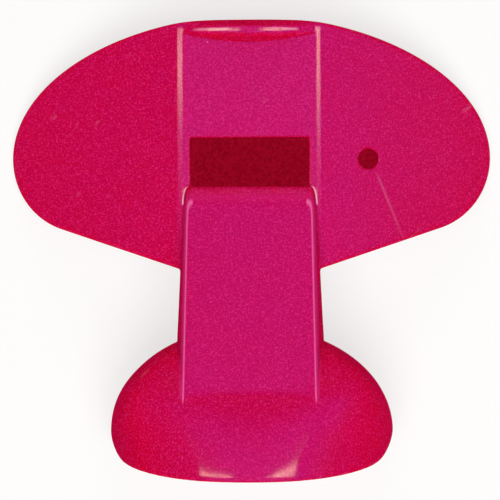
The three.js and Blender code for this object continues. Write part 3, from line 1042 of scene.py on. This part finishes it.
def field_tree(name, shape):
    tree = bpy.data.node_groups.new(name, "GeometryNodeTree")
    sockets = tree.interface
    sockets.new_socket("Geometry", in_out="OUTPUT", socket_type="NodeSocketGeometry")
    for size in vars(SIZES):
        sockets.new_socket(label_of(size), in_out="INPUT", socket_type="NodeSocketFloat")
    for corner in ("Low corner", "High corner"):
        sockets.new_socket(corner, in_out="INPUT", socket_type="NodeSocketVector")
    for axis in "XYZ":
        sockets.new_socket("Steps " + axis, in_out="INPUT", socket_type="NodeSocketInt")
    sockets.new_socket("Plastic", in_out="INPUT", socket_type="NodeSocketMaterial")

    given = tree.nodes.new("NodeGroupInput")
    wired = {size: Field(tree, given.outputs[label_of(size)]) for size in vars(SIZES)}
    sizes = SimpleNamespace(**wired)
    places = flute_places(sizes)
    position = tree.nodes.new("GeometryNodeInputPosition").outputs["Position"]
    normal = tree.nodes.new("GeometryNodeInputNormal").outputs["Normal"]
    inside = -shape(sizes, places, *axes_of(tree, position))

    volume = tree.nodes.new("GeometryNodeVolumeCube")
    volume.inputs["Background"].default_value = -MARGIN
    tree.links.new(inside.socket, volume.inputs["Density"])
    tree.links.new(given.outputs["Low corner"], volume.inputs["Min"])
    tree.links.new(given.outputs["High corner"], volume.inputs["Max"])
    for axis in "XYZ":
        tree.links.new(given.outputs["Steps " + axis], volume.inputs["Resolution " + axis])
    skin = tree.nodes.new("GeometryNodeVolumeToMesh")
    skin.resolution_mode = "GRID"
    skin.inputs["Threshold"].default_value = 0.0
    skin.inputs["Adaptivity"].default_value = 0.0
    pull = lower(PULL_LIMIT, higher(-PULL_LIMIT, inside))
    along = tree.nodes.new("ShaderNodeVectorMath")
    along.operation = "SCALE"
    tree.links.new(normal, along.inputs["Vector"])
    tree.links.new(pull.socket, along.inputs["Scale"])
    exact = tree.nodes.new("GeometryNodeSetPosition")
    tree.links.new(along.outputs["Vector"], exact.inputs["Offset"])
    metres = tree.nodes.new("GeometryNodeTransform")
    metres.inputs["Scale"].default_value = (MM, MM, MM)
    smooth = tree.nodes.new("GeometryNodeSetShadeSmooth")
    real = tree.nodes.new("GeometryNodeRealizeInstances")
    paint = tree.nodes.new("GeometryNodeSetMaterial")
    tree.links.new(given.outputs["Plastic"], paint.inputs["Material"])
    out = tree.nodes.new("NodeGroupOutput")
    chain = [volume, skin, exact, metres, smooth, real, paint, out]
    for before, after in zip(chain, chain[1:]):
        tree.links.new(before.outputs[0], after.inputs[0])
    return tree


print("one tree, with", len(vars(SIZES)), "sizes as its inputs")

# %% [markdown]
# A maker object carries the tree only until its mesh is taken. Each input is set by its socket's identifier,
# and the corners come from the CAD node that the piece will stand for.

# %% Shell and plate
SHELL_VOXEL = 0.25
PLATE_VOXEL = 0.2
TRIANGLES = 190000


def moulded_piece(name, shape, node, voxel, plastic):
    """A mesh object in metres for one moulding, from its field in the box of a CAD node."""
    low, high = (tuple(value / MM for value in corner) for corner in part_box(node))
    tree = field_tree(name + "_field", shape)
    values = {label_of(size): value for size, value in vars(SIZES).items()}
    values["Low corner"] = tuple(value - MARGIN for value in low)
    values["High corner"] = tuple(value + MARGIN for value in high)
    for axis, start, end in zip("XYZ", low, high):
        values["Steps " + axis] = round((end - start + 2 * MARGIN) / voxel)
    values["Plastic"] = plastic
    maker = bpy.data.objects.new(name + "_maker", bpy.data.meshes.new(name + "_maker"))
    scene.collection.objects.link(maker)
    modifier = maker.modifiers.new("field", "NODES")
    modifier.node_group = tree
    for item in tree.interface.items_tree:
        if item.in_out == "INPUT":
            modifier[item.identifier] = values[item.name]
    depsgraph = bpy.context.evaluated_depsgraph_get()
    full = maker.evaluated_get(depsgraph).data
    full.calc_loop_triangles()
    thinner = maker.modifiers.new("thinner", "DECIMATE")
    thinner.ratio = min(1.0, TRIANGLES / len(full.loop_triangles))
    depsgraph = bpy.context.evaluated_depsgraph_get()
    mesh = bpy.data.meshes.new_from_object(maker.evaluated_get(depsgraph))
    bpy.data.objects.remove(maker)
    mesh.name = name
    piece = bpy.data.objects.new(name, mesh)
    scene.collection.objects.link(piece)
    mesh.calc_loop_triangles()
    print(name, len(tree.nodes), "nodes,", len(mesh.loop_triangles), "triangles")
    return piece


shell = moulded_piece("shell_moulding", shell_field, "front_shell", SHELL_VOXEL, SHELL_PLASTIC)
plate = moulded_piece("plate_moulding", plate_field, "windway_plate", PLATE_VOXEL, PLATE_PLASTIC)

# %% [markdown]
# ## Hand the pieces to the frame
# Nothing on a nose flute moves, so both pieces ride on the one body.

# %% Pieces on the frame
for piece, node in ((shell, "front_shell"), (plate, "windway_plate")):
    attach(piece, "root")
    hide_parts(node)
    print(piece.name, "stands for", node)

# %% [markdown]
# ## The floor
# The flute lies on a plain white sheet. Where the camera or the gloss sees the sheet, most of it is a plain
# glow, so that it stays white and still takes the soft shadow. Under the shield only the red light that came
# through the plastic reaches the sheet, and that shows through the window and the cord hole. Light that has
# wandered through a wall is slow to render, so a soft red patch on the sheet stands in for it.

# %% Floor
FLOOR_SIZE = 6.0
SHEET_COLOUR = (0.92, 0.92, 0.92, 1.0)
SHEET_ROUGHNESS = 0.9
WHITE = (1.0, 1.0, 1.0, 1.0)
SHADED_PALE = linear(155, 8, 35)
SHADED_DARK = linear(126, 1, 24)
SHADED_MIDDLE = Vector((5.0, 13.5)) * MM
SHADED_HALF = Vector((18.0, 7.5)) * MM
SHADED_END = 1.45
SHADED_FULL = 0.95
SHADED_GRAIN = 2400.0
SHADED_DETAIL = 2.0
SHADED_LOW = 0.3
SHADED_HIGH = 0.7
GLOW_SHARE = 0.7


def floor_sheet():
    material = bpy.data.materials.new("floor_sheet")
    material.use_nodes = True
    tree = material.node_tree
    shader = tree.nodes["Principled BSDF"]
    shader.inputs["Roughness"].default_value = SHEET_ROUGHNESS
    shader.inputs["Specular IOR Level"].default_value = 0.0
    x, y, _ = axes_of(tree, object_place(tree))
    away = length_of((x - SHADED_MIDDLE.x) / SHADED_HALF.x, (y - SHADED_MIDDLE.y) / SHADED_HALF.y)
    covered = eased(part_way(away, SHADED_END, SHADED_FULL))
    grain = noise(tree, object_place(tree), SHADED_GRAIN, SHADED_DETAIL)
    shaded = mix_colour(tree, part_way(grain, SHADED_LOW, SHADED_HIGH), SHADED_DARK, SHADED_PALE)
    tree.links.new(mix_colour(tree, covered, SHEET_COLOUR, shaded), shader.inputs["Base Color"])
    glow = tree.nodes.new("ShaderNodeEmission")
    tree.links.new(mix_colour(tree, covered, WHITE, shaded), glow.inputs["Color"])
    rays = tree.nodes.new("ShaderNodeLightPath")
    seen = Field(tree, rays.outputs["Is Camera Ray"])
    for kind in ("Is Glossy Ray", "Is Transmission Ray"):
        seen = higher(seen, Field(tree, rays.outputs[kind]))
    share = seen * (GLOW_SHARE + covered * (1 - GLOW_SHARE))
    blend = tree.nodes.new("ShaderNodeMixShader")
    tree.links.new(share.socket, blend.inputs["Fac"])
    tree.links.new(shader.outputs["BSDF"], blend.inputs[1])
    tree.links.new(glow.outputs["Emission"], blend.inputs[2])
    tree.links.new(blend.outputs["Shader"], tree.nodes["Material Output"].inputs["Surface"])
    return material


floor_mesh = bpy.data.meshes.new("floor")
half_floor = FLOOR_SIZE / 2
floor_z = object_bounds()[0][2]
floor_turns = ((-1, -1), (1, -1), (1, 1), (-1, 1))
floor_corners = [(x * half_floor, y * half_floor, floor_z) for x, y in floor_turns]
floor_mesh.from_pydata(floor_corners, [], [(0, 1, 2, 3)])
floor_mesh.materials.append(floor_sheet())
floor = bpy.data.objects.new("floor", floor_mesh)
scene.collection.objects.link(floor)
print("floor", FLOOR_SIZE, "m, at", round(floor_z / MM, 3), "mm")

# %% [markdown]
# ## The light
# A broad box from the hood's side lights the whole flute, and a weaker one fills in from the chin. Neither is
# seen in the gloss. The bright lines on the creases, the lip and the rim of the hood are the mirror images of
# three long warm strips that stand far off, so each strip's angles decide where its line falls. A faint cool
# light comes from the right, and a dim dome fills the shadows.

# %% Lamps
NEUTRAL = (1.0, 1.0, 1.0)
WARM = (1.0, 0.78, 0.55)
COOL = (0.6, 0.7, 1.0)
STRIP_DISTANCE = 4.0


def soft_box(name, angles, distance, size, power, colour, roll=0.0, mirrored=True):
    """A rectangular lamp that looks at the flute from two angles off the vertical, in degrees."""
    data = bpy.data.lights.new(name, "AREA")
    data.shape = "RECTANGLE"
    data.size = size[0]
    data.size_y = size[1]
    data.energy = power
    data.color = colour
    lamp = bpy.data.objects.new(name, data)
    east, north = (math.tan(math.radians(angle)) for angle in angles)
    way = Vector((east, north, 1.0)).normalized()
    roll_turn = Matrix.Rotation(math.radians(roll), 4, "Z")
    lamp.matrix_world = Matrix.Translation(way * distance) @ facing(way) @ roll_turn
    lamp.visible_glossy = mirrored
    scene.collection.objects.link(lamp)


soft_box("key_box", (2.0, -20.0), 1.0, size=(0.9, 0.64), power=10.0, colour=NEUTRAL, mirrored=False)
soft_box("chin_fill", (0.0, 62.0), 0.9, size=(0.6, 0.4), power=1.9, colour=NEUTRAL, mirrored=False)
soft_box("left_box", (-19.8, 4.3), STRIP_DISTANCE, size=(1.66, 0.126), power=6.6, colour=WARM)
soft_box("right_box", (16.0, 3.7), STRIP_DISTANCE, size=(1.41, 0.126), power=3.5, colour=WARM)
soft_box("right_high_box", (18.6, 5.9), STRIP_DISTANCE, size=(1.13, 0.168), power=5.6, colour=WARM, roll=6.0)
soft_box("window_box", (54.0, 0.0), 1.1, size=(0.6, 0.6), power=0.1, colour=COOL)

# %% World
DOME_LEVEL = 0.025
OVERHEAD_LEVEL = 0.1
OVERHEAD_START = 0.85
OVERHEAD_FULL = 0.99


def studio_world():
    world = bpy.data.worlds.new("studio")
    world.use_nodes = True
    tree = world.node_tree
    direction = tree.nodes.new("ShaderNodeTexCoord").outputs["Generated"]
    _, _, up = axes_of(tree, direction)
    brightness = DOME_LEVEL + part_way(up, OVERHEAD_START, OVERHEAD_FULL) * OVERHEAD_LEVEL
    tree.links.new(brightness.socket, tree.nodes["Background"].inputs["Strength"])
    tree.nodes["Background"].inputs["Color"].default_value = WHITE
    return world


scene.world = studio_world()
scene.view_settings.view_transform = "Standard"
print("world", scene.world.name, "view transform", scene.view_settings.view_transform)

# %% [markdown]
# ## Finish
